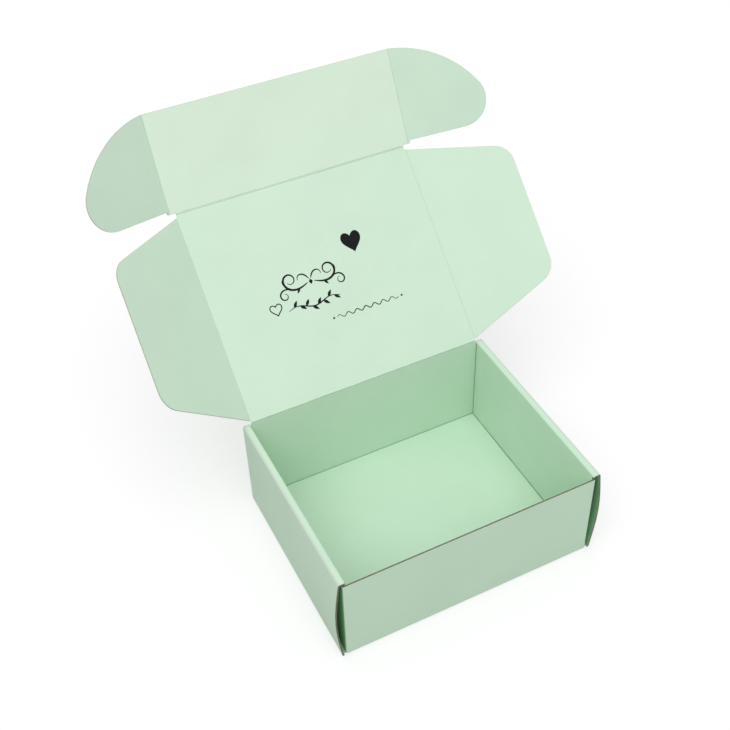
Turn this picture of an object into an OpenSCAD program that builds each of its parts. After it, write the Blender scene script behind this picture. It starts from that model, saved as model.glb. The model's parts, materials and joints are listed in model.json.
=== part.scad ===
// A small mailer carton, die cut from one sheet of fine corrugated board and
// standing open. The tray has rolled double side walls that lock into its
// floor. The lid hangs on the back wall and carries two dust flaps and a tuck
// flap, whose two rounded ears slide into the slots at the front corners.
// X runs to the right along the hinge, Y to the back and Z up. The origin is
// on the floor under the middle of the tray. A fold that moves is a round bead
// on the moving panel, turning against the flat cut end of the panel before it.

/* [Board] */
// Thickness of the corrugated board
board_t = 1.4; // [1.2:0.1:1.7]
// Inside radius of a fixed fold
fold_r = 0.4; // [0.2:0.1:0.8]
// Gap between a crease bead and the edge that it turns against
crease_gap = 0.3; // [0.2:0.05:0.5]
// Air between a panel that slides in and the panel beside it
slide_gap = 0.3; // [0.2:0.05:0.6]
// Air between two plies folded flat on each other
ply_gap = 0.15; // [0.1:0.05:0.4]

/* [Tray] */
// Width across the outer side walls
tray_w = 250; // [200:1:300]
// Depth from the front face to the back face
tray_d = 197; // [170:1:230]
// Height of the rolled side walls
tray_h = 99.2; // [90:0.1:130]
// How far the front wall stays below the side walls
front_drop = 5.2; // [3:0.1:15]
// How far each outer side wall bows out at its free front edge
wall_bow = 4.3; // [0:0.1:6]
// Share of the depth over which that bow dies away
bow_share = 0.8; // [0.5:0.05:1]

/* [Double side walls] */
// Width of the slot that takes an ear of the tuck flap
ear_slot = 2.5; // [2.4:0.1:4]
// Gap under the lower edge of an inner side wall and of a corner flap
floor_gap = 0.3; // [0.2:0.1:1]
// Gap at each end of an inner side wall
inner_end_gap = 0.7; // [0.4:0.1:2]
// Width of a lock tab on the lower edge of an inner side wall
tab_w = 43; // [20:1:60]
// Distance between the middles of the two lock tabs of a side
tab_pitch = 87; // [65:1:100]
// Air round a lock tab in its slot
tab_gap = 0.3; // [0.2:0.1:0.8]

/* [Corner flaps] */
// Reach of a front corner flap along the side wall
front_flap_reach = 80; // [40:1:84]
// Reach of a back corner flap along the side wall
back_flap_reach = 76; // [40:1:84]
// Slope of the long edges of a corner flap, in degrees
corner_flap_slope = 2; // [0:0.5:4]
// Gap between the rim strip and the top of a back corner flap
rim_gap = 0.6; // [0.4:0.1:2]

/* [Lid] */
// Length of the lid from the hinge fold to the tuck fold
lid_l = 200; // [198:0.5:240]
// Height of the hinge fold over the side walls
hinge_rise = 2.3; // [1.5:0.1:4]
// Reach of a dust flap from its fold
dust_reach = 94; // [50:1:97]
// Furthest that a dust flap folds over the inside of the lid, in degrees
dust_fold_most = 147; // [100:1:150]
// Slope of the two sides of a dust flap, in degrees
dust_slope = 20; // [18:0.5:30]
// Radius of the two free corners of a dust flap
dust_corner_r = 20; // [5:0.5:30]
// Distance from the hinge fold to the near end of a dust flap
dust_back_inset = 1.6; // [1.5:0.1:4]
// Distance from the tuck fold to the near end of a dust flap
dust_front_inset = 4; // [3.5:0.1:8]

/* [Tuck flap] */
// Length of the tuck flap from its fold to its free edge
tuck_l = 92; // [70:0.5:96]
// Radius of the long curve of an ear
ear_arc_r = 106; // [96:0.5:120]
// Slope at which that curve leaves the free edge of the tuck flap, in degrees
ear_arc_start = 6; // [2:0.5:10]
// Radius of the nose of an ear
ear_nose_r = 25; // [15:0.5:35]

/* [Open position] */
// Angle of the lid from closed, in degrees
lid_open = 136.7; // [90:0.1:150]
// Fold of the tuck flap towards the inside, in degrees
tuck_fold = 19.3; // [0:0.1:40]
// Fold of the left dust flap towards the inside, in degrees
dust_fold_left = 35.5; // [0:0.5:60]
// Fold of the right dust flap towards the inside, in degrees
dust_fold_right = 34; // [0:0.5:60]
// Fold of the left ear towards the inside, in degrees
ear_fold_left = 27; // [0:0.5:60]
// Fold of the right ear towards the inside, in degrees
ear_fold_right = 19; // [0:0.5:60]

/* [Hidden] */
$fn = 48;

left = -1;
right = 1;
mint = [0.82, 0.91, 0.84];
mint_shade = [0.76, 0.87, 0.79];
bead_r = board_t / 2;
crease_inset = bead_r + crease_gap;
fold_outer = fold_r + board_t;
// how far a fixed fold laps the flat board at each of its ends
fold_lap = 0.05;

// the plies of a double side wall, from the outside in
outer_x = tray_w / 2 - board_t;
flap_x = outer_x - ear_slot;
inner_x = flap_x - board_t - ply_gap;
clear_x = inner_x - board_t;
rim_under = tray_h - board_t;
inner_foot = board_t + floor_gap;
inner_half_d = tray_d / 2 - board_t - inner_end_gap;
front_h = tray_h - front_drop;

// the folds that move
hinge_y = tray_d / 2 - bead_r;
hinge_z = tray_h + hinge_rise;
dust_x = clear_x - slide_gap - bead_r;
ear_x = flap_x + slide_gap + bead_r;
back_top = hinge_z - crease_inset;
back_neck_half_w = clear_x - inner_end_gap;
ear_inset = hinge_z - rim_under + slide_gap;

// the grid of the bowed outer wall
bow_rows = 14;
bow_stations = 12;
bow_fade = 1.5;
arc_steps = 12;
corner_steps = 6;

// points on an arc about a centre, between two angles
function arc(centre, r, from, to, steps) = [
    for (i = [0 : steps])
        let (a = from + (to - from) * i / steps)
        centre + r * [cos(a), sin(a)]
];

// what is drawn for the right side, on either side
module on_side(side) {
    mirror([side == left ? 1 : 0, 0, 0]) children();
}

// one sheet of board, with its outline on the XY plane at the middle of its thickness
module board() {
    translate([0, 0, -board_t / 2])
        linear_extrude(board_t) children();
}

// the cross-section of a quarter fold, from +X round to +Y, with a short leg at
// each end that laps the flat board
module fold_section() {
    intersection() {
        difference() {
            circle(fold_outer);
            circle(fold_r);
        }
        square(fold_outer);
    }
    translate([fold_r, -fold_lap]) square([board_t, fold_lap]);
    translate([-fold_lap, fold_r]) square([fold_lap, board_t]);
}

module fold_along_x(length) {
    rotate([90, 0, 90])
        linear_extrude(length, center = true)
            children();
}

module fold_along_y(length) {
    rotate([90, 0, 0])
        linear_extrude(length, center = true)
            children();
}

// how far the outer wall stands out at a share of its depth and of its height
function bow(depth_share, height_share) =
    depth_share >= bow_share ? 0 :
    wall_bow * sin(180 * height_share) * pow(1 - depth_share / bow_share, bow_fade);

// a point of the outer wall's grid, whose first and last rows lap the two folds
function wall_point(face_x, station, row) =
    let (
        d = station / bow_stations,
        h = min(max((row - 1) / bow_rows, 0), 1),
        foot = row == 0 ? fold_outer : fold_outer + fold_lap,
        top = row == bow_rows + 2 ? tray_h - fold_outer : tray_h - fold_outer - fold_lap
    )
    [face_x + bow(d, h), tray_d * (d - 0.5), foot + (top - foot) * h];

// the outer ply of the right side wall between its two folds, bowed where its front edge is free
module outer_wall() {
    last_row = bow_rows + 2;
    last_station = bow_stations;
    points = [
        for (face_x = [outer_x, outer_x + board_t], s = [0 : last_station], r = [0 : last_row])
            wall_point(face_x, s, r)
    ];
    function at(face, s, r) = (face * (last_station + 1) + s) * (last_row + 1) + r;
    inner_face = [
        for (s = [0 : last_station - 1], r = [0 : last_row - 1])
            [at(0, s, r), at(0, s + 1, r), at(0, s + 1, r + 1), at(0, s, r + 1)]
    ];
    outer_face = [
        for (s = [0 : last_station - 1], r = [0 : last_row - 1])
            [at(1, s, r), at(1, s, r + 1), at(1, s + 1, r + 1), at(1, s + 1, r)]
    ];
    front_edge = [
        for (r = [0 : last_row - 1])
            [at(0, 0, r), at(0, 0, r + 1), at(1, 0, r + 1), at(1, 0, r)]
    ];
    back_edge = [
        for (r = [0 : last_row - 1], s = last_station)
            [at(0, s, r), at(1, s, r), at(1, s, r + 1), at(0, s, r + 1)]
    ];
    foot = [
        for (s = [0 : last_station - 1])
            [at(0, s, 0), at(1, s, 0), at(1, s + 1, 0), at(0, s + 1, 0)]
    ];
    top = [
        for (s = [0 : last_station - 1], r = last_row)
            [at(0, s, r), at(0, s + 1, r), at(1, s + 1, r), at(1, s, r)]
    ];
    polyhedron(points, concat(inner_face, outer_face, front_edge, back_edge, foot, top));
}

// the strip along the top of a side wall, between the fold up and the fold down
module rim_strip() {
    fold_along_y(tray_d) {
        translate([outer_x - fold_r, tray_h - fold_outer]) fold_section();
        translate([clear_x + fold_outer, rim_under])
            square([outer_x - fold_r - clear_x - fold_outer, board_t]);
        translate([clear_x + fold_outer, tray_h - fold_outer])
            mirror([1, 0]) fold_section();
    }
}

// the inner ply of the right side wall, with its two lock tabs through the floor
module inner_wall() {
    translate([clear_x, -inner_half_d, inner_foot])
        cube([board_t, 2 * inner_half_d, tray_h - fold_outer - inner_foot]);
    for (end = [-1, 1])
        translate([clear_x, end * tab_pitch / 2 - tab_w / 2, tab_gap])
            cube([board_t, tab_w, inner_foot]);
}

module side_wall() {
    fold_along_y(tray_d)
        translate([outer_x - fold_r, fold_outer]) mirror([0, 1]) fold_section();
    outer_wall();
    rim_strip();
    inner_wall();
}

module lock_slots() {
    for (side = [left, right], end = [-1, 1])
        translate([
            side * (clear_x + board_t / 2),
            end * tab_pitch / 2,
            board_t / 2
        ])
            cube([board_t + 2 * tab_gap, tab_w + 2 * tab_gap, 3 * board_t], center = true);
}

module floor_panel() {
    difference() {
        translate([-outer_x + fold_r, -tray_d / 2 + fold_outer, 0])
            cube([2 * (outer_x - fold_r), tray_d - 2 * fold_outer, board_t]);
        lock_slots();
    }
}

// the flap at the right end of an end wall, turned back between the two side plies
module corner_flap(reach, top) {
    start = fold_outer;
    rise = (reach - start) * tan(corner_flap_slope);
    translate([flap_x - board_t, -tray_d / 2, 0])
        rotate([90, 0, 90])
            linear_extrude(board_t)
                polygon([
                    [start, inner_foot],
                    [start + fold_lap, inner_foot],
                    [reach, inner_foot + rise],
                    [reach, top - rise],
                    [start + fold_lap, top],
                    [start, top]
                ]);
    translate([flap_x - fold_outer, -tray_d / 2 + fold_outer, inner_foot])
        linear_extrude(top - inner_foot)
            mirror([0, 1]) fold_section();
}

// an end wall of the tray, at the front, with its bottom fold and both corner flaps
module end_wall(height, flap_reach, flap_top) {
    half_w = flap_x - fold_outer;
    translate([-half_w, -tray_d / 2, fold_outer])
        cube([2 * half_w, board_t, height - fold_outer]);
    translate([0, -tray_d / 2 + fold_outer, fold_outer])
        fold_along_x(2 * half_w)
            mirror([1, 0]) mirror([0, 1]) fold_section();
    for (side = [left, right])
        on_side(side) corner_flap(flap_reach, flap_top);
}

// the middle of the back wall, which rises past the rims to the hinge fold
module back_neck() {
    flap_top = rim_under - rim_gap;
    translate([-back_neck_half_w, tray_d / 2 - board_t, flap_top - board_t])
        cube([2 * back_neck_half_w, board_t, back_top - flap_top + board_t]);
}

module tray() {
    flap_top = rim_under - rim_gap;
    color(mint) {
        floor_panel();
        for (side = [left, right])
            on_side(side) side_wall();
        end_wall(front_h, front_flap_reach, front_h);
        mirror([0, 1, 0]) end_wall(flap_top, back_flap_reach, flap_top);
        back_neck();
    }
}

// the frames of the moving panels: X right, Y away from the fold, Z to the inside
module on_lid() {
    translate([0, hinge_y, hinge_z])
        rotate([180 - lid_open, 0, 0]) children();
}

module on_tuck_flap() {
    on_lid()
        translate([0, lid_l, 0])
            rotate([tuck_fold, 0, 0]) children();
}

// a round bead along a fold, in line with X
module bead_x(length) {
    rotate([0, 90, 0]) cylinder(h = length, r = bead_r, center = true);
}

// a round bead along a fold, in line with Y from one place to another
module bead_y(from, to) {
    translate([0, from, 0])
        rotate([-90, 0, 0]) cylinder(h = to - from, r = bead_r);
}

// the lid's cross-section. Its two edges are pressed to a slope on the inside,
// so that the dust flaps can fold past square.
module lid_section() {
    half_w = dust_x - crease_inset;
    between = 180 - dust_fold_most;
    lip_z = crease_inset * (sin(between) - 1) / cos(between);
    slope_x = dust_x - (crease_inset + bead_r * cos(between)) / sin(between);
    polygon([
        [-half_w, -bead_r], [half_w, -bead_r], [half_w, lip_z], [slope_x, bead_r],
        [-slope_x, bead_r], [-half_w, lip_z]
    ]);
}

module lid_panel() {
    half_w = dust_x - crease_inset;
    color(mint) on_lid() {
        translate([0, lid_l - crease_inset, 0])
            rotate([90, 0, 0])
                linear_extrude(lid_l - crease_inset) lid_section();
        bead_x(2 * half_w);
    }
}

// the right dust flap, flat: X away from its fold, Y along the lid
module dust_flap() {
    back = dust_back_inset;
    front = lid_l - dust_front_inset;
    slope = tan(dust_slope);
    cut = dust_corner_r * tan(45 - dust_slope / 2);
    corner_x = dust_reach - dust_corner_r;
    back_y = back + slope * dust_reach + cut;
    front_y = front - slope * dust_reach - cut;
    board()
        polygon(concat(
            [[0, front], [0, back]],
            arc([corner_x, back_y], dust_corner_r, dust_slope - 90, 0, corner_steps),
            arc([corner_x, front_y], dust_corner_r, 0, 90 - dust_slope, corner_steps)
        ));
    bead_y(back, front);
}

module dust_flap_left() {
    color(mint_shade) on_lid()
        translate([-dust_x, 0, 0])
            rotate([0, dust_fold_left, 0])
                mirror([1, 0, 0]) dust_flap();
}

module dust_flap_right() {
    color(mint_shade) on_lid()
        translate([dust_x, 0, 0])
            rotate([0, -dust_fold_right, 0]) dust_flap();
}

module tuck_flap() {
    half_w = ear_x - crease_inset;
    fold_half_w = dust_x - crease_inset;
    color(mint) on_tuck_flap() {
        board()
            polygon([
                [-fold_half_w, 0], [fold_half_w, 0],
                [fold_half_w, crease_inset], [half_w, crease_inset],
                [half_w, tuck_l], [-half_w, tuck_l],
                [-half_w, crease_inset], [-fold_half_w, crease_inset]
            ]);
        bead_x(2 * fold_half_w);
    }
}

// the right ear, flat: X away from its fold, Y along the tuck flap. A long arc
// runs down from the free edge and turns into the nose, which ends on the edge
// that slides in under the rim strip.
module ear() {
    arc_centre = [-ear_arc_r * sin(ear_arc_start), tuck_l - ear_arc_r * cos(ear_arc_start)];
    nose_y = ear_inset + ear_nose_r;
    nose_from_centre = ear_arc_r - ear_nose_r;
    nose_turn = asin((nose_y - arc_centre[1]) / nose_from_centre);
    nose_centre = arc_centre + nose_from_centre * [cos(nose_turn), sin(nose_turn)];
    board()
        polygon(concat(
            [[0, crease_inset], [ear_inset - crease_inset, ear_inset]],
            arc(nose_centre, ear_nose_r, -90, nose_turn, arc_steps),
            arc(arc_centre, ear_arc_r, nose_turn, 90 - ear_arc_start, arc_steps)
        ));
    bead_y(crease_inset, tuck_l);
}

module ear_left() {
    color(mint_shade) on_tuck_flap()
        translate([-ear_x, 0, 0])
            rotate([0, ear_fold_left, 0])
                mirror([1, 0, 0]) ear();
}

module ear_right() {
    color(mint_shade) on_tuck_flap()
        translate([ear_x, 0, 0])
            rotate([0, -ear_fold_right, 0]) ear();
}

tray();
lid_panel();
dust_flap_left();
dust_flap_right();
tuck_flap();
ear_left();
ear_right();
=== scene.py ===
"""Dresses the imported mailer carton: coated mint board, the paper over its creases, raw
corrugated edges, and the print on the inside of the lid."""

import json
import math
import random

import bmesh
import bpy
from mathutils import Matrix, Vector


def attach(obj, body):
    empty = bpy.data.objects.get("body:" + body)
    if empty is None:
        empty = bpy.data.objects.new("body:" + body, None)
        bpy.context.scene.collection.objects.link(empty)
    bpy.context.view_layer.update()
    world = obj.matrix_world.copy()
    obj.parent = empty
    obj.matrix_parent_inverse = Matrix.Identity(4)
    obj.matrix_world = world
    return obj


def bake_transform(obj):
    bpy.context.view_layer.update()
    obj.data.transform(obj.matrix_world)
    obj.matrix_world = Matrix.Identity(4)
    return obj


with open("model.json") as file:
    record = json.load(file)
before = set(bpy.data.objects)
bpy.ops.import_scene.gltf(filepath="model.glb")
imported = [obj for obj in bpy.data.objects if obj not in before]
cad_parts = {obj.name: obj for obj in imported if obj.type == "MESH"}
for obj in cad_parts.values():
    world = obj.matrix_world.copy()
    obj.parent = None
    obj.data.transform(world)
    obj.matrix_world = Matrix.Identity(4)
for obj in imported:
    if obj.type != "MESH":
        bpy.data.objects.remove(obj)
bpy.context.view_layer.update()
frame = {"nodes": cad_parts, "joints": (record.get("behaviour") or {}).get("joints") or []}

# ------------------------------------------------------------ sizes, in mm
MM = 0.001

# the board and its plies
BOARD_T = 1.4
HALF_T = BOARD_T / 2
FOLD_R = 0.4
FOLD_MID_R = FOLD_R + HALF_T
FOLD_OUTER = FOLD_R + BOARD_T
CREASE_INSET = 1.0
FLUTE_PITCH = 3.3
LINER_T = 0.22
MEDIUM_T = 0.16
EDGE_PROUD = 0.2
MEDIUM_PROUD = EDGE_PROUD - 0.03
CORE_PROUD = 0.03
EDGE_SUNK = 0.01
CORE_SUNK = 0.02

# the tray
TRAY_W = 250.0
TRAY_D = 197.0
TRAY_H = 99.2
FRONT_H = 94.0
EAR_SLOT = 2.5
PLY_GAP = 0.15
INNER_END_GAP = 0.7
INNER_FOOT = 1.7
WALL_BOW = 4.3
FRONT_FLAP_REACH = 80.0
CORNER_FLAP_SLOPE = math.radians(2)
OUTER_X = TRAY_W / 2 - BOARD_T
FLAP_X = OUTER_X - EAR_SLOT
CLEAR_X = FLAP_X - 2 * BOARD_T - PLY_GAP
WALL_ROWS = 14
WALL_IN_Y = TRAY_D / 2 - BOARD_T

# the moving panels
JOINTS = {joint["name"]: joint for joint in frame["joints"]}
HINGE = Vector(JOINTS["lid_fold"]["pos_m"]) / MM
TUCK_FOLD_AT = Vector(JOINTS["tuck_fold"]["pos_m"]) / MM
LID_L = (TUCK_FOLD_AT - HINGE).length
DUST_X = JOINTS["right_dust_fold"]["pos_m"][0] / MM
EAR_X = JOINTS["right_ear_fold"]["pos_m"][0] / MM
LID_HALF_W = DUST_X - CREASE_INSET
# the lid's edges are pressed to a slope on the inside, from here at the face to here at the cut
SLOPE_X = 114.236
LIP_Z = -0.544
TUCK_HALF_W = EAR_X - CREASE_INSET
LID_TILT = -JOINTS["lid_fold"]["range_deg"][0]
TUCK_FOLD = -JOINTS["tuck_fold"]["range_deg"][0]
DUST_FOLD = {-1: 35.5, 1: 34.0}
EAR_FOLD = {-1: 27.0, 1: 19.0}
SIDE_NAMES = {-1: "left", 1: "right"}
DUST_REACH = 94.0
DUST_SLOPE = 20.0
DUST_CORNER_R = 20.0
DUST_BACK = 1.6
DUST_FRONT = LID_L - 4.0
TUCK_L = 92.0
EAR_ARC_R = 106.0
EAR_ARC_START = 6.0
EAR_NOSE_R = 25.0
EAR_INSET = 4.0

# creases: how far the paper over a fold stands off the board, at places across the fold
SKIN_REACH = 1.8
SKIN_THIN = 0.008
INNER_LIFTS = [
    (-SKIN_REACH, SKIN_THIN), (-1.4, 0.014), (-1.0, 0.024), (-0.7, 0.026), (-0.45, 0.022),
    (-0.2, 0.012), (0.2, 0.012), (0.45, 0.022), (0.7, 0.026), (1.0, 0.024), (1.4, 0.014),
    (SKIN_REACH, SKIN_THIN),
]
OUTER_LIFTS = [
    (-SKIN_REACH, SKIN_THIN), (-1.3, 0.018), (-0.8, 0.030), (-0.4, 0.042), (-0.15, 0.050),
    (0.15, 0.050), (0.4, 0.042), (0.8, 0.030), (1.3, 0.018), (SKIN_REACH, SKIN_THIN),
]
# at the dust flaps the paper also bridges the slope of the lid's edge
PRESSED_LIFTS = [(-3.4, SKIN_THIN), (-2.4, 0.012)] + INNER_LIFTS[1:]
# a scored line, darker with painted shade, lies between two places across its fold
SCORED_DUST = {-1: (-0.3, 0.8), 1: (-0.8, 1.2)}
SCORED_EAR = (-0.5, 0.5)
SCORED_TUCK = (-1.2, 1.2)
SCORED_HINGE = (-0.8, 0.2)
SKIN_FOOT = 0.003
SKIN_STEP = 7.0
# how unevenly the paper lies along a fold
SKIN_DRIFT = 0.2
SKIN_SPREAD = 0.25
SKIN_SWELL = (0.8, 1.1)
SHARP_ANGLE = math.radians(40)

# print
INK_LIFT = 0.02
INK_T = 0.03


def turned(degrees, axis):
    return Matrix.Rotation(math.radians(degrees), 4, axis)


ON_TRAY = Matrix.Identity(4)
ON_LID = Matrix.Translation(HINGE) @ turned(LID_TILT, "X")
ON_TUCK = ON_LID @ Matrix.Translation((0, LID_L, 0)) @ turned(TUCK_FOLD, "X")


def mirrored(side):
    return Matrix.Scale(side, 4, (1, 0, 0))


def on_dust(side):
    """The frame of a dust flap: X away from its fold, Y along the lid, Z to the inside."""
    return (
        ON_LID
        @ Matrix.Translation((side * DUST_X, 0, 0))
        @ turned(-side * DUST_FOLD[side], "Y")
        @ mirrored(side)
    )


def on_ear(side):
    """The frame of an ear: X away from its fold, Y along the tuck flap, Z to the inside."""
    return (
        ON_TUCK
        @ Matrix.Translation((side * EAR_X, 0, 0))
        @ turned(-side * EAR_FOLD[side], "Y")
        @ mirrored(side)
    )


# --------------------------------------------------------------- materials
MINT = (0.592, 0.762, 0.613)
MINT_TRAY = (0.578, 0.769, 0.598)
# lighter than MINT: painted light, for the brighter light and glare on the tuck flap
MINT_TUCK_PAINTED_LIGHT = (0.680, 0.830, 0.680)
# painted shade: the deep green in the ear slots and behind the inner walls' ends
SLOT_SHADE_GREEN = (0.23, 0.48, 0.25)
# painted shade: the dark green line along the floor's folds
FOLD_SHADE_GREEN = (0.24, 0.42, 0.28)
# greyer over the outer fold of each rim
RIM_FOLD_GREY = (0.55, 0.65, 0.57)
# how much darker the scored lines of the creases are: painted shade in their grooves
FAINT_GROOVE_SHADE = 0.87
DEEP_GROOVE_SHADE = 0.75

# noise scales of the card, from its cloudy colour down to its fibres, and heights in metres
MOTTLE_SCALE = 18
FLECK_SCALE = 420
SWELL_SCALE = 9
FIBRE_SCALE = 1300
SWELL_RELIEF = 0.0016
FLUTE_RELIEF = 0.0000045
FIBRE_RELIEF = 0.00003
# the same for a cut edge and for the ink
CUT_SCALE = 700
CUT_RELIEF = 0.00006
WEAR_SCALE = 900
WEAR_RELIEF = 0.00002
# the most common span of a noise's values
NOISE_SPAN = (0.3, 0.7)


def new_material(name):
    material = bpy.data.materials.new(name)
    material.use_nodes = True
    tree = material.node_tree
    return material, tree.nodes, tree.links, tree.nodes["Principled BSDF"]


def noise(nodes, links, where, scale, detail=3.0, roughness=0.5):
    texture = nodes.new("ShaderNodeTexNoise")
    texture.inputs["Scale"].default_value = scale
    texture.inputs["Detail"].default_value = detail
    texture.inputs["Roughness"].default_value = roughness
    links.new(where, texture.inputs["Vector"])
    return texture.outputs["Fac"]


def mapped(nodes, links, value, low, high, to_low, to_high):
    node = nodes.new("ShaderNodeMapRange")
    node.inputs["From Min"].default_value = low
    node.inputs["From Max"].default_value = high
    node.inputs["To Min"].default_value = to_low
    node.inputs["To Max"].default_value = to_high
    links.new(value, node.inputs["Value"])
    return node.outputs["Result"]


def mixed(nodes, links, factor, a, b):
    node = nodes.new("ShaderNodeMix")
    node.data_type = "RGBA"
    links.new(factor, node.inputs["Factor"])
    for socket, colour in ((node.inputs[6], a), (node.inputs[7], b)):
        if isinstance(colour, tuple):
            socket.default_value = (*colour, 1)
        else:
            links.new(colour, socket)
    return node.outputs[2]


def bumped(nodes, links, height, distance, before=None):
    node = nodes.new("ShaderNodeBump")
    node.inputs["Strength"].default_value = 1.0
    node.inputs["Distance"].default_value = distance
    links.new(height, node.inputs["Height"])
    if before is not None:
        links.new(before, node.inputs["Normal"])
    return node.outputs["Normal"]


def shade(colour, factor):
    return tuple(channel * factor for channel in colour)


def sums(nodes, links, operation, *values):
    """A Math node's result, for sockets and plain numbers."""
    node = nodes.new("ShaderNodeMath")
    node.operation = operation
    for socket, value in zip(node.inputs, values):
        if isinstance(value, (int, float)):
            socket.default_value = value
        else:
            links.new(value, socket)
    return node.outputs[0]


# Where painted shade deepens the tray's card, and where it is greyer over the rims' outer
# folds, in mm: each shade starts at the first place of a pair and is full at the second.
FOLD_SHADE_REACH = (0.8, 0.4)
BEHIND_X = (CLEAR_X - 0.6, CLEAR_X - 0.1)
BEHIND_Y = (WALL_IN_Y - 0.2, WALL_IN_Y - 0.1)
SLOT_INNER = (FLAP_X - 0.9, FLAP_X - 0.2)
SLOT_INNER_END = (FLAP_X + 0.7, FLAP_X + 0.3)
SLOT_OUTER = (OUTER_X - 1.6, OUTER_X - 1.0)
SLOT_TOP = (TRAY_H - 9.2, TRAY_H - 7.2)
RIM_FOLD_X = (OUTER_X - 1.0, OUTER_X + 0.2)
RIM_FOLD_Z = (TRAY_H - 1.6, TRAY_H - 0.6)
# The same for how far a face looks along an axis.
LOOKS_ALONG = (0.5, 0.95)
LOOKS_AGAINST = (-0.3, -0.8)


def painted_shade_and_rim_grey(nodes, links, coords, colour):
    """The tray's colour with painted shade in a deeper green where board faces board: along the
    floor's folds, behind the ends of the inner walls and in the slots for the ears. Over the
    outer fold of each rim it is greyer."""
    place = nodes.new("ShaderNodeSeparateXYZ")
    links.new(coords.outputs["Object"], place.inputs["Vector"])
    facing = nodes.new("ShaderNodeSeparateXYZ")
    links.new(coords.outputs["Normal"], facing.inputs["Vector"])

    def op(operation, *values):
        return sums(nodes, links, operation, *values)

    def ramp(value, places):
        return mapped(nodes, links, value, *places, 0, 1)

    def distance(value):
        return op("MULTIPLY", op("ABSOLUTE", value), 1 / MM)

    def outward(axis):
        """How far a face looks away from the tray's middle."""
        return op("MULTIPLY", facing.outputs[axis], op("SIGN", place.outputs[axis]))

    x = distance(place.outputs["X"])
    y = distance(place.outputs["Y"])
    z = op("MULTIPLY", place.outputs["Z"], 1 / MM)

    # painted shade: a dark green line along the floor's folds with the walls
    lines = []
    for value, at in ((x, CLEAR_X), (y, WALL_IN_Y)):
        beside = op("SUBTRACT", value, at)
        above = op("SUBTRACT", z, BOARD_T)
        squares = op("ADD", op("MULTIPLY", beside, beside), op("MULTIPLY", above, above))
        lines.append(ramp(op("SQRT", squares), FOLD_SHADE_REACH))
    line = op("MAXIMUM", *lines)

    # painted shade: behind the ends of the inner walls, on both faces in the ear slots and under
    # their rims
    behind = op("MULTIPLY", ramp(x, BEHIND_X), ramp(outward("Y"), LOOKS_AGAINST))
    behind = op("MULTIPLY", behind, ramp(y, BEHIND_Y))
    on_flap = op("MULTIPLY", ramp(x, SLOT_INNER), ramp(x, SLOT_INNER_END))
    on_flap = op("MULTIPLY", ramp(outward("X"), LOOKS_ALONG), on_flap)
    on_wall = op("MULTIPLY", ramp(outward("X"), LOOKS_AGAINST), ramp(x, SLOT_OUTER))
    under_rim = op("MULTIPLY", ramp(facing.outputs["Z"], LOOKS_AGAINST), ramp(z, SLOT_TOP))
    slot = op("MAXIMUM", op("MAXIMUM", on_flap, on_wall), op("MAXIMUM", under_rim, behind))

    # greyer over the outer fold of each rim
    rim_greyer = op("MULTIPLY", ramp(x, RIM_FOLD_X), ramp(z, RIM_FOLD_Z))
    colour = mixed(nodes, links, rim_greyer, colour, RIM_FOLD_GREY)
    colour = mixed(nodes, links, line, colour, FOLD_SHADE_GREEN)
    return mixed(nodes, links, slot, colour, SLOT_SHADE_GREEN)


def card_material(name, colour, shades=None):
    """Satin coated paper over fine flutes: faint mottling, fibres, a soft unevenness of the
    panel, and the washboard lines of the flutes, one after the other along X."""
    material, nodes, links, shader = new_material(name)
    coords = nodes.new("ShaderNodeTexCoord")
    where = coords.outputs["Object"]

    mottle = noise(nodes, links, where, MOTTLE_SCALE, 4, 0.6)
    fleck = noise(nodes, links, where, FLECK_SCALE, 2)
    base = mixed(
        nodes, links, mapped(nodes, links, mottle, *NOISE_SPAN, 0, 1),
        shade(colour, 0.975), shade(colour, 1.015),
    )
    flecked = mixed(
        nodes, links, mapped(nodes, links, fleck, 0.62, 0.8, 0, 0.25), base, shade(colour, 1.08)
    )
    if shades:
        flecked = shades(nodes, links, coords, flecked)
    links.new(flecked, shader.inputs["Base Color"])
    links.new(mapped(nodes, links, mottle, *NOISE_SPAN, 0.40, 0.50), shader.inputs["Roughness"])
    shader.inputs["Specular IOR Level"].default_value = 0.42
    shader.inputs["Sheen Weight"].default_value = 0.03

    split = nodes.new("ShaderNodeSeparateXYZ")
    links.new(where, split.inputs["Vector"])
    wave_angle = 2 * math.pi / (FLUTE_PITCH * MM)
    wave = sums(
        nodes, links, "SINE", sums(nodes, links, "MULTIPLY", split.outputs["X"], wave_angle)
    )
    fibres = noise(nodes, links, where, FIBRE_SCALE, 3, 0.65)
    relief = bumped(nodes, links, noise(nodes, links, where, SWELL_SCALE, 2), SWELL_RELIEF)
    relief = bumped(nodes, links, wave, FLUTE_RELIEF, relief)
    relief = bumped(nodes, links, fibres, FIBRE_RELIEF, relief)
    links.new(relief, shader.inputs["Normal"])
    return material


def paper_material(name, colour, dark):
    """Uncoated paper as a cut shows it, fuzzy and uneven."""
    material, nodes, links, shader = new_material(name)
    where = nodes.new("ShaderNodeTexCoord").outputs["Object"]
    grain = noise(nodes, links, where, CUT_SCALE, 4, 0.7)
    links.new(
        mixed(nodes, links, mapped(nodes, links, grain, 0.35, 0.65, 0, 1), dark, colour),
        shader.inputs["Base Color"],
    )
    shader.inputs["Roughness"].default_value = 0.9
    shader.inputs["Specular IOR Level"].default_value = 0.2
    links.new(bumped(nodes, links, grain, CUT_RELIEF), shader.inputs["Normal"])
    return material


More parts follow.
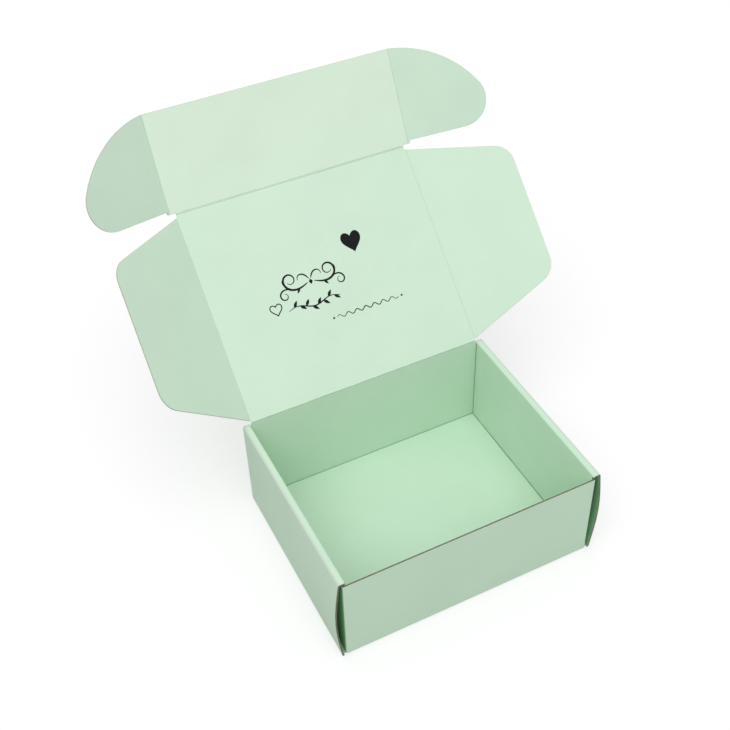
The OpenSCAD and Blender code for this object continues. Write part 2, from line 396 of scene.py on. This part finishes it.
def ink_material(name, colour):
    """Screen-printed ink: a little glossier than the board, with tiny pinholes of wear."""
    material, nodes, links, shader = new_material(name)
    where = nodes.new("ShaderNodeTexCoord").outputs["Object"]
    wear = noise(nodes, links, where, WEAR_SCALE, 3, 0.7)
    worn = mapped(nodes, links, wear, 0.66, 0.78, 0, 0.5)
    links.new(
        mixed(nodes, links, worn, colour, shade(colour, 5)), shader.inputs["Base Color"]
    )
    shader.inputs["Roughness"].default_value = 0.6
    shader.inputs["Specular IOR Level"].default_value = 0.15
    links.new(bumped(nodes, links, wear, WEAR_RELIEF), shader.inputs["Normal"])
    return material


# the tray's card gets painted shade in its folds and ear slots, and greyer rim folds
tray_card = card_material("coated_mint_tray", MINT_TRAY, shades=painted_shade_and_rim_grey)
lid_card = card_material("coated_mint_lid", MINT)
# the tuck flap's card is the lighter copy of the mint, with painted light
tuck_painted_light_card = card_material("coated_mint_tuck_painted_light", MINT_TUCK_PAINTED_LIGHT)
flap_card = card_material("coated_mint_flaps", MINT)
# the scored lines' cards: the mint darkened, painted shade in the grooves
faint_groove_shade = card_material("mint_crease_faint_groove_shade", shade(MINT, FAINT_GROOVE_SHADE))
deep_groove_shade = card_material("mint_crease_deep_groove_shade", shade(MINT, DEEP_GROOVE_SHADE))
cut_liner = paper_material("cut_liner", (0.40, 0.44, 0.33), (0.24, 0.27, 0.18))
# painted shade: the hollows between the flutes, as a dark band
cut_hollow_shade = paper_material("cut_hollow_shade", (0.11, 0.122, 0.075), (0.05, 0.058, 0.034))
pale_liner = paper_material("cut_liner_pale", (0.68, 0.73, 0.63), (0.54, 0.60, 0.50))
# the same painted shade of the hollows, paler, for the panels' edges
pale_hollow_shade = paper_material("cut_hollow_shade_pale", (0.42, 0.46, 0.37), (0.30, 0.34, 0.26))
black_ink = ink_material("black_ink", (0.006, 0.006, 0.007))
DARK_CUT = (cut_liner, cut_hollow_shade)
PALE_CUT = (pale_liner, pale_hollow_shade)

NODE_LOOKS = {
    "tray": tray_card,
    "lid_panel": lid_card,
    "tuck_flap": tuck_painted_light_card,
    "dust_flap_left": flap_card,
    "dust_flap_right": flap_card,
    "ear_left": flap_card,
    "ear_right": flap_card,
}
for node_name, look in NODE_LOOKS.items():
    for node_slot in frame["nodes"][node_name].material_slots:
        node_slot.material = look


# ------------------------------------------------------------- mesh helpers
class Shape:
    """Points in mm and faces, each face with the number of its material."""

    def __init__(self):
        self.points, self.faces, self.numbers = [], [], []

    def tube(self, rings, number=0, closed=False):
        """Rings of the same count of corners joined into a closed tube."""
        start, size = len(self.points), len(rings[0])
        for ring in rings:
            self.points.extend(ring)
        pairs = len(rings) if closed else len(rings) - 1
        for i in range(pairs):
            a, b = start + i * size, start + (i + 1) % len(rings) * size
            for k in range(size):
                n = (k + 1) % size
                self.faces.append((a + k, a + n, b + n, b + k))
                self.numbers.append(number)
        if not closed:
            last = start + (len(rings) - 1) * size
            self.faces.append(tuple(range(start, start + size)))
            self.faces.append(tuple(range(last, last + size)))
            self.numbers += [number, number]

    def object(self, name, materials, smooth=False):
        mesh = bpy.data.meshes.new(name)
        mesh.from_pydata([p * MM for p in self.points], [], self.faces)
        for material in materials:
            mesh.materials.append(material)
        for polygon, number in zip(mesh.polygons, self.numbers):
            polygon.material_index = number
        made = bmesh.new()
        made.from_mesh(mesh)
        bmesh.ops.recalc_face_normals(made, faces=made.faces)
        made.to_mesh(mesh)
        made.free()
        if smooth:
            mesh.shade_smooth()
            mesh.set_sharp_from_angle(angle=SHARP_ANGLE)
        obj = bpy.data.objects.new(name, mesh)
        bpy.context.scene.collection.objects.link(obj)
        return obj


def arc(centre, radius, start, end, steps):
    """Points on an arc in a plane, between two angles in degrees."""
    angles = [math.radians(start + (end - start) * i / steps) for i in range(steps + 1)]
    return [(centre[0] + radius * math.cos(a), centre[1] + radius * math.sin(a)) for a in angles]


# -------------------------------------------------------------- raw edges
def stations(points, out=None, across=None, blank=None):
    """Points along the middle of a cut edge, each with the directions across the board and
    out of the cut, and its place across the flutes. One of the two directions is fixed."""
    spots = []
    run = 0.0
    for i, point in enumerate(points):
        if i:
            run += (point - points[i - 1]).length
        before = points[max(i - 1, 0)]
        after = points[min(i + 1, len(points) - 1)]
        along = (after - before).normalized()
        this_out = out if out is not None else along.cross(across).normalized()
        this_across = across if across is not None else out.cross(along).normalized()
        spots.append((point, this_across, this_out, blank(point) if blank else run))
    return spots


def refined(spots, step):
    """More stations, so that none is more than a step across the flutes from the next."""
    fine = []
    for a, b in zip(spots, spots[1:]):
        count = max(1, math.ceil(abs(b[3] - a[3]) / step))
        for i in range(count):
            t = i / count
            fine.append((
                a[0].lerp(b[0], t), a[1].lerp(b[1], t).normalized(),
                a[2].lerp(b[2], t).normalized(), a[3] + (b[3] - a[3]) * t,
            ))
    fine.append(spots[-1])
    return fine


def bar(spots, matrix, offset, width, low, high):
    """Rings of a bar that runs along an edge, offset(spot) across the board's thickness."""
    rings = []
    for spot in spots:
        point, across, out, _ = spot
        middle = point + across * offset(spot)
        rings.append([
            matrix @ (middle + across * side * width / 2 + out * height)
            for side, height in ((-1, low), (1, low), (1, high), (-1, high))
        ])
    return rings


def raw_edge(name, body, matrix, spots, papers=DARK_CUT):
    """A cut edge of the board: its two liners, the wave of paper between them, and a dark
    band behind them, painted shade for the hollows."""
    liner_at = HALF_T - LINER_T / 2
    swing = HALF_T - LINER_T - MEDIUM_T / 2
    shape = Shape()

    def liner_place(side):
        return lambda spot: side * liner_at

    def medium_place(spot):
        return swing * math.sin(2 * math.pi * spot[3] / FLUTE_PITCH)

    for side in (-1, 1):
        shape.tube(bar(spots, matrix, liner_place(side), LINER_T, -EDGE_SUNK, EDGE_PROUD))
    fine = refined(spots, FLUTE_PITCH / 8)
    shape.tube(bar(fine, matrix, medium_place, MEDIUM_T, -EDGE_SUNK, MEDIUM_PROUD))
    core_w = BOARD_T - LINER_T
    # the band behind the paper is dark, painted shade for the hollows
    shape.tube(bar(spots, matrix, lambda spot: 0.0, core_w, -CORE_SUNK, CORE_PROUD), 1)
    obj = shape.object(name, papers)
    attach(obj, body)
    return obj


def panel_edge(name, body, matrix, outline):
    """The cut edge round a flat panel, given in the panel's own plane, anticlockwise."""
    points = [Vector((x, y, 0)) for x, y in outline]
    raw_edge(
        name, body, matrix, stations(points, across=Vector((0, 0, 1)), blank=lambda p: p.x),
        PALE_CUT,
    )


def side_section(bow):
    """The middle of a side wall's outer ply, rim strip and both rim folds, from the front."""
    fold_x = OUTER_X - FOLD_R
    strip_end = CLEAR_X + FOLD_OUTER
    top = TRAY_H - FOLD_OUTER
    wall = [
        (
            OUTER_X + HALF_T + bow * math.sin(math.pi * row / WALL_ROWS),
            FOLD_OUTER + (top - FOLD_OUTER) * row / WALL_ROWS,
        )
        for row in range(1, WALL_ROWS)
    ]
    return (
        arc((fold_x, FOLD_OUTER), FOLD_MID_R, -90, 0, 6)
        + wall
        + arc((fold_x, top), FOLD_MID_R, 0, 90, 6)
        + arc((strip_end, top), FOLD_MID_R, 90, 180, 6)
    )


def add_tray_edges():
    half_w = FLAP_X - FOLD_OUTER
    corner_y = -TRAY_D / 2 + FOLD_OUTER
    flap_end = -TRAY_D / 2 + FRONT_FLAP_REACH
    drop = (FRONT_FLAP_REACH - FOLD_OUTER) * math.tan(CORNER_FLAP_SLOPE)
    right_end = arc((half_w, corner_y), FOLD_MID_R, -90, 0, 6) + [(half_w + FOLD_MID_R, flap_end)]
    left_end = [(-x, y) for x, y in reversed(right_end)]
    heights = {flap_end: FRONT_H - drop}
    points = [Vector((x, y, heights.get(y, FRONT_H))) for x, y in left_end + right_end]
    raw_edge(
        "edge_front_wall", "tray", ON_TRAY, stations(points, out=Vector((0, 0, 1)))
    )
    for side in (-1, 1):
        matrix = mirrored(side)
        for end, end_name, bow in ((-1, "front", WALL_BOW), (1, "back", 0.0)):
            out = Vector((0, end, 0))
            section = [Vector((x, end * TRAY_D / 2, z)) for x, z in side_section(bow)]
            raw_edge(
                f"edge_side_{end_name}_{SIDE_NAMES[side]}", "tray", matrix,
                stations(section, out=out),
            )
            inner_y = end * (WALL_IN_Y - INNER_END_GAP)
            inner = [
                Vector((CLEAR_X + HALF_T, inner_y, z)) for z in (INNER_FOOT, TRAY_H - FOLD_OUTER)
            ]
            raw_edge(
                f"edge_inner_{end_name}_{SIDE_NAMES[side]}", "tray", matrix,
                stations(inner, out=out),
            )


def dust_outline():
    slope = math.tan(math.radians(DUST_SLOPE))
    cut = DUST_CORNER_R * math.tan(math.radians(45 - DUST_SLOPE / 2))
    corner_x = DUST_REACH - DUST_CORNER_R
    back_y = DUST_BACK + slope * DUST_REACH + cut
    front_y = DUST_FRONT - slope * DUST_REACH - cut
    return (
        [(0, DUST_BACK)]
        + arc((corner_x, back_y), DUST_CORNER_R, DUST_SLOPE - 90, 0, 6)
        + arc((corner_x, front_y), DUST_CORNER_R, 0, 90 - DUST_SLOPE, 6)
        + [(0, DUST_FRONT)]
    )


def ear_outline():
    start = math.radians(EAR_ARC_START)
    centre = Vector((-EAR_ARC_R * math.sin(start), TUCK_L - EAR_ARC_R * math.cos(start)))
    nose_y = EAR_INSET + EAR_NOSE_R
    nose_turn = math.asin((nose_y - centre.y) / (EAR_ARC_R - EAR_NOSE_R))
    nose = centre + (EAR_ARC_R - EAR_NOSE_R) * Vector((math.cos(nose_turn), math.sin(nose_turn)))
    turn = math.degrees(nose_turn)
    return (
        [(0, CREASE_INSET), (EAR_INSET - CREASE_INSET, EAR_INSET)]
        + arc(nose, EAR_NOSE_R, -90, turn, 12)
        + arc(centre, EAR_ARC_R, turn, 90 - EAR_ARC_START, 12)[1:]
    )


def add_panel_edges():
    for side in (-1, 1):
        name = SIDE_NAMES[side]
        panel_edge(f"edge_dust_{name}", f"{name}_dust", on_dust(side), dust_outline())
        panel_edge(f"edge_ear_{name}", f"{name}_ear", on_ear(side), ear_outline())
        panel_edge(
            f"edge_shoulder_{name}", "tuck", ON_TUCK @ mirrored(side),
            [(LID_HALF_W + 0.4, CREASE_INSET), (TUCK_HALF_W - 0.05, CREASE_INSET)],
        )
    panel_edge(
        "edge_tuck", "tuck", ON_TUCK, [(TUCK_HALF_W, TUCK_L), (-TUCK_HALF_W, TUCK_L)]
    )


add_tray_edges()
add_panel_edges()


# ----------------------------------------------------------------- creases
def weight(v):
    t = min(max((v + CREASE_INSET) / (2 * CREASE_INSET), 0), 1)
    return t * t * (3 - 2 * t)


def crease(name, matrix, fold, length, looks, scored, inner_lifts=INNER_LIFTS):
    """The paper over a fold, inside and outside. In the matrix's frame the fold lies along
    its X, the first body's panel is towards -Y and the inside towards +Z. The second body's
    panel is turned by the fold's degrees at rest. The looks are those of the two panels and
    of the line that is scored on the inside, darker with painted shade, between two places across
    the fold."""
    rng = random.Random(name)
    low, high = length
    count = max(2, round((high - low) / SKIN_STEP))
    shape = Shape()
    for facing, lifts in ((1, inner_lifts), (-1, OUTER_LIFTS)):
        rings = []
        for i in range(count + 1):
            u = low + (high - low) * i / count
            swell = rng.uniform(*SKIN_SWELL)
            drift = rng.uniform(-SKIN_DRIFT, SKIN_DRIFT) if 0 < i < count else 0
            spread = rng.uniform(-SKIN_SPREAD, SKIN_SPREAD)
            places = [
                v + (drift + spread * v) * max(0, 1 - abs(v) / SKIN_REACH) for v, _ in lifts
            ]
            top = [
                (v, HALF_T + max(lift * swell, SKIN_THIN)) for v, (_, lift) in zip(places, lifts)
            ]
            foot = [(v, HALF_T + SKIN_FOOT) for v in reversed(places)]
            ring = []
            for v, height in top + foot:
                turn = math.radians(fold) * weight(v)
                y, z = v, facing * height
                turned_y = y * math.cos(turn) - z * math.sin(turn)
                turned_z = y * math.sin(turn) + z * math.cos(turn)
                ring.append(matrix @ Vector((u, turned_y, turned_z)))
            rings.append(ring)
        first_face = len(shape.numbers)
        shape.tube(rings)
        per_ring = 2 * len(lifts)
        for i in range(count):
            for k, (v, _) in enumerate(lifts[:-1]):
                middle = (v + lifts[k + 1][0]) / 2
                # the scored line's faces take the darker look, painted shade in its groove
                in_line = facing > 0 and scored[0] < middle < scored[1]
                number = 2 if in_line else int(middle > 0)
                shape.numbers[first_face + i * per_ring + k] = number
    obj = shape.object(name, looks, smooth=True)
    turn = math.radians(fold)
    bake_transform(obj)


# The hinge fold: the back wall stands below it, so its inside looks to the front.
BACK_WALL = Matrix.Translation(HINGE) @ turned(90, "X")
crease(
    "crease_hinge", BACK_WALL, LID_TILT - 90,
    (-LID_HALF_W, LID_HALF_W), (tray_card, lid_card, deep_groove_shade), SCORED_HINGE,
)
crease(
    "crease_tuck", ON_LID @ Matrix.Translation((0, LID_L, 0)),
    TUCK_FOLD, (-LID_HALF_W, LID_HALF_W), (lid_card, tuck_painted_light_card, deep_groove_shade), SCORED_TUCK,
)
# A quarter turn that lays the crease's own X along the panel's Y.
ALONG_Y = Matrix(((0, 1, 0, 0), (1, 0, 0, 0), (0, 0, 1, 0), (0, 0, 0, 1)))
for side, side_name in SIDE_NAMES.items():
    crease(
        f"crease_dust_{side_name}",
        ON_LID @ Matrix.Translation((side * DUST_X, 0, 0)) @ mirrored(side) @ ALONG_Y,
        DUST_FOLD[side], (DUST_BACK, DUST_FRONT), (lid_card, flap_card, faint_groove_shade),
        SCORED_DUST[side], PRESSED_LIFTS,
    )
    crease(
        f"crease_ear_{side_name}",
        ON_TUCK @ Matrix.Translation((side * EAR_X, 0, 0)) @ mirrored(side) @ ALONG_Y,
        EAR_FOLD[side], (CREASE_INSET, TUCK_L), (tuck_painted_light_card, flap_card, deep_groove_shade), SCORED_EAR,
    )


def add_lid_corners():
    """Paper over the slope of the lid's edges, between the dust flap and the tuck fold."""
    top = HALF_T + SKIN_FOOT
    section = (
        (LID_HALF_W, LIP_Z), (LID_HALF_W, top), (SLOPE_X - 0.1, top), (SLOPE_X, HALF_T - 0.01)
    )
    for side, side_name in SIDE_NAMES.items():
        shape = Shape()
        shape.tube([
            [ON_LID @ Vector((side * x, y, z)) for x, z in section]
            for y in (DUST_FRONT, LID_L - SKIN_REACH)
        ])
        corner = shape.object(f"lid_corner_{side_name}", [lid_card])
        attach(corner, "lid")


add_lid_corners()


# ------------------------------------------------------------------- print
INK_LOW = HALF_T + INK_LIFT
INK_HIGH = INK_LOW + INK_T
# a heart's outline: its waves, their sum's span, its roundness and its middle's rise
HEART_WAVES = (13, -4.5, -1.8, -0.8)
HEART_SPAN = 28
HEART_ROUND = 2.5
HEART_RISE = 0.09


def stroke(shape, path, width):
    """A flat pen stroke along a path in the lid's plane, width(t) wide at a share t of it."""
    rings = []
    for i, point in enumerate(path):
        along = (path[min(i + 1, len(path) - 1)] - path[max(i - 1, 0)]).normalized()
        across = Vector((-along.y, along.x)) * width(i / (len(path) - 1)) / 2
        left, right = point + across, point - across
        rings.append([
            ON_LID @ Vector((*left, INK_LOW)), ON_LID @ Vector((*right, INK_LOW)),
            ON_LID @ Vector((*right, INK_HIGH)), ON_LID @ Vector((*left, INK_HIGH)),
        ])
    shape.tube(rings)


def patch(shape, outline):
    """A flat printed patch with this outline in the lid's plane."""
    start = len(shape.points)
    count = len(outline)
    for z in (INK_LOW, INK_HIGH):
        shape.points.extend(ON_LID @ Vector((*point, z)) for point in outline)
    shape.faces.append(tuple(range(start, start + count)))
    shape.faces.append(tuple(range(start + count, start + 2 * count)))
    for i in range(count):
        n = (i + 1) % count
        shape.faces.append((start + i, start + n, start + count + n, start + count + i))
    shape.numbers += [0] * (count + 2)


def scroll(start, heading, length, bend_start, bend_end, steps=60):
    """A curve whose bend, in degrees a mm, changes evenly along it, as a pen scroll's does."""
    points = [Vector(start)]
    angle = math.radians(heading)
    step = length / steps
    for i in range(steps):
        share = (i + 0.5) / steps
        angle += math.radians(bend_start + (bend_end - bend_start) * share) * step
        points.append(points[-1] + step * Vector((math.cos(angle), math.sin(angle))))
    return points


def heart(centre, width, height, steps=72):
    """The outline of a heart, anticlockwise."""
    points = []
    for i in range(steps):
        t = 2 * math.pi * i / steps
        x = math.copysign(abs(math.sin(t)) ** HEART_ROUND, math.sin(t))
        y = sum(wave * math.cos((k + 1) * t) for k, wave in enumerate(HEART_WAVES)) / HEART_SPAN
        points.append(Vector((
            centre[0] - x * width / 2, centre[1] + (y + HEART_RISE) * height
        )))
    return points


def leaf(shape, root, heading, length, width):
    """A small pointed leaf."""
    along = Vector((math.cos(math.radians(heading)), math.sin(math.radians(heading))))
    path = [Vector(root) + along * length * i / 10 for i in range(11)]
    stroke(shape, path, lambda t: max(width * math.sin(math.pi * t ** 0.8), 0.05))


def ink_piece(name, shape):
    obj = shape.object(name, [black_ink])
    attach(obj, "lid")
    return obj


def flip_x(points, about):
    return [Vector((2 * about - p.x, p.y)) for p in points]


def add_hearts():
    filled = Shape()
    patch(filled, heart((32.8, 127.2), 20, 20))
    ink_piece("print_heart", filled)
    drawn = Shape()
    outline = heart((-59.0, 88.2), 11.5, 10.5)
    rings = []
    for i, point in enumerate(outline):
        before, after = outline[i - 1], outline[(i + 1) % len(outline)]
        along = (after - before).normalized()
        across = Vector((-along.y, along.x)) * 0.5
        inner, outer = point + across, point - across
        rings.append([
            ON_LID @ Vector((*inner, INK_LOW)), ON_LID @ Vector((*outer, INK_LOW)),
            ON_LID @ Vector((*outer, INK_HIGH)), ON_LID @ Vector((*inner, INK_HIGH)),
        ])
    drawn.tube(rings, closed=True)
    ink_piece("print_heart_outline", drawn)


def add_flourishes():
    """A generic pair of pen scrolls, a leafy vine and a wavy line."""
    upper = Shape()
    centre_x, centre_y = -18.5, 104.0
    for mirror_it in (False, True):
        arm = scroll((centre_x + 3.2, centre_y), -24, 56, 0.2, 15.5, 80)
        curl = scroll(arm[26], 30, 30, -3.0, -23.0)
        sprig = scroll((centre_x + 1.0, centre_y + 3), 66, 17, -1.0, -20.0, 40)
        for path, thin, wide in ((arm, 0.5, 1.6), (curl, 0.4, 1.1), (sprig, 0.4, 1.0)):
            if mirror_it:
                path = flip_x(path, centre_x)
            stroke(upper, path, lambda t, a=thin, b=wide: a + b * math.sin(math.pi * t ** 0.7))
        for at, heading, reach in ((14, -50, 5.5), (36, 75, 5.5)):
            root = flip_x([arm[at]], centre_x)[0] if mirror_it else arm[at]
            leaf(upper, root, 180 - heading if mirror_it else heading, reach, 2.2)
    patch(upper, [
        Vector((centre_x + x, centre_y + y)) for x, y in ((2.0, 0), (0, 2.8), (-2.0, 0), (0, -2.8))
    ])
    ink_piece("print_flourish", upper)

    lower = Shape()
    stem = [
        Vector((-48 + 52 * t, 83.5 + 2.2 * math.sin(2 * math.pi * t * 1.5)))
        for t in [i / 72 for i in range(73)]
    ]
    stroke(lower, stem, lambda t: 0.45 + 0.8 * math.sin(math.pi * t))
    for i in range(1, 9):
        leaf(lower, stem[i * 8], 52 if i % 2 else -40, 7.2, 2.9)
    ink_piece("print_vine", lower)

    wavy = Shape()
    line = [
        Vector((-6 + 64 * t, 64.5 + 1.5 * math.sin(2 * math.pi * t * 7)))
        for t in [i / 168 for i in range(169)]
    ]
    stroke(wavy, line, lambda t: 0.55 + 0.4 * math.sin(math.pi * t))
    for x in (-9.5, 61.5):
        patch(wavy, [Vector(p) for p in arc((x, 64.5), 1.0, 0, 345, 23)])
    ink_piece("print_wave", wavy)


add_hearts()
add_flourishes()


# ------------------------------------------------------------ floor, light
FLOOR_SIZE = 8.0
FLOOR_DROP = 0.0002
FLOOR_WHITE = 0.96
FLOOR_GLOW = 0.5
FLOOR_BOUNCE = 0.52
SKY_STRENGTH = 0.68
KEY_STRENGTH = 1.42
KEY_ANGLE = math.radians(60)
KEY_FROM = (-0.26, -0.36, 0.90)
CAMERA_LENS = 56.74
CAMERA_AT = (-0.33187, -0.60199, 0.84534)
CAMERA_TURN = (46.8819, 1.5046, -26.6802)


def grey(value):
    return (value, value, value, 1)


def add_floor():
    """The camera sees it nearly white, with the object's shadow. It lights the object less."""
    half = FLOOR_SIZE / 2
    mesh = bpy.data.meshes.new("floor")
    mesh.from_pydata(
        [(-half, -half, 0), (half, -half, 0), (half, half, 0), (-half, half, 0)], [], [(0, 1, 2, 3)]
    )
    floor = bpy.data.objects.new("floor", mesh)
    floor.location.z = -FLOOR_DROP
    bpy.context.scene.collection.objects.link(floor)
    material, nodes, links, shader = new_material("white_floor")
    shader.inputs["Base Color"].default_value = grey(FLOOR_WHITE)
    shader.inputs["Roughness"].default_value = 1.0
    shader.inputs["Specular IOR Level"].default_value = 0.0
    dim = nodes.new("ShaderNodeBsdfDiffuse")
    dim.inputs["Color"].default_value = grey(FLOOR_BOUNCE)
    plain_white = nodes.new("ShaderNodeEmission")
    seen = nodes.new("ShaderNodeMixShader")
    seen.inputs["Fac"].default_value = FLOOR_GLOW
    links.new(shader.outputs[0], seen.inputs[1])
    links.new(plain_white.outputs[0], seen.inputs[2])
    path = nodes.new("ShaderNodeLightPath")
    choose = nodes.new("ShaderNodeMixShader")
    links.new(path.outputs["Is Camera Ray"], choose.inputs["Fac"])
    links.new(dim.outputs[0], choose.inputs[1])
    links.new(seen.outputs[0], choose.inputs[2])
    links.new(choose.outputs[0], nodes["Material Output"].inputs["Surface"])
    mesh.materials.append(material)


def add_world():
    world = bpy.data.worlds.new("soft_studio")
    bpy.context.scene.world = world
    world.use_nodes = True
    nodes, links = world.node_tree.nodes, world.node_tree.links
    seen = nodes["Background"]
    seen.inputs["Color"].default_value = grey(1)
    seen.inputs["Strength"].default_value = 1.0
    lit = nodes.new("ShaderNodeBackground")
    lit.inputs["Color"].default_value = grey(1)
    lit.inputs["Strength"].default_value = SKY_STRENGTH
    path = nodes.new("ShaderNodeLightPath")
    choose = nodes.new("ShaderNodeMixShader")
    links.new(path.outputs["Is Camera Ray"], choose.inputs["Fac"])
    links.new(lit.outputs[0], choose.inputs[1])
    links.new(seen.outputs[0], choose.inputs[2])
    links.new(choose.outputs[0], nodes["World Output"].inputs["Surface"])


def add_key_light():
    lamp = bpy.data.lights.new("key", "SUN")
    lamp.energy = KEY_STRENGTH
    lamp.angle = KEY_ANGLE
    key = bpy.data.objects.new("key", lamp)
    key.rotation_euler = Vector(KEY_FROM).to_track_quat("Z", "Y").to_euler()
    bpy.context.scene.collection.objects.link(key)


def add_camera():
    data = bpy.data.cameras.new("camera")
    data.sensor_width = 36
    data.lens = CAMERA_LENS
    data.clip_start = 0.01
    camera = bpy.data.objects.new("camera", data)
    camera.location = CAMERA_AT
    camera.rotation_euler = [math.radians(a) for a in CAMERA_TURN]
    bpy.context.scene.collection.objects.link(camera)
    bpy.context.scene.camera = camera


add_floor()
add_world()
add_key_light()
add_camera()
bpy.context.scene.view_settings.view_transform = "Standard"
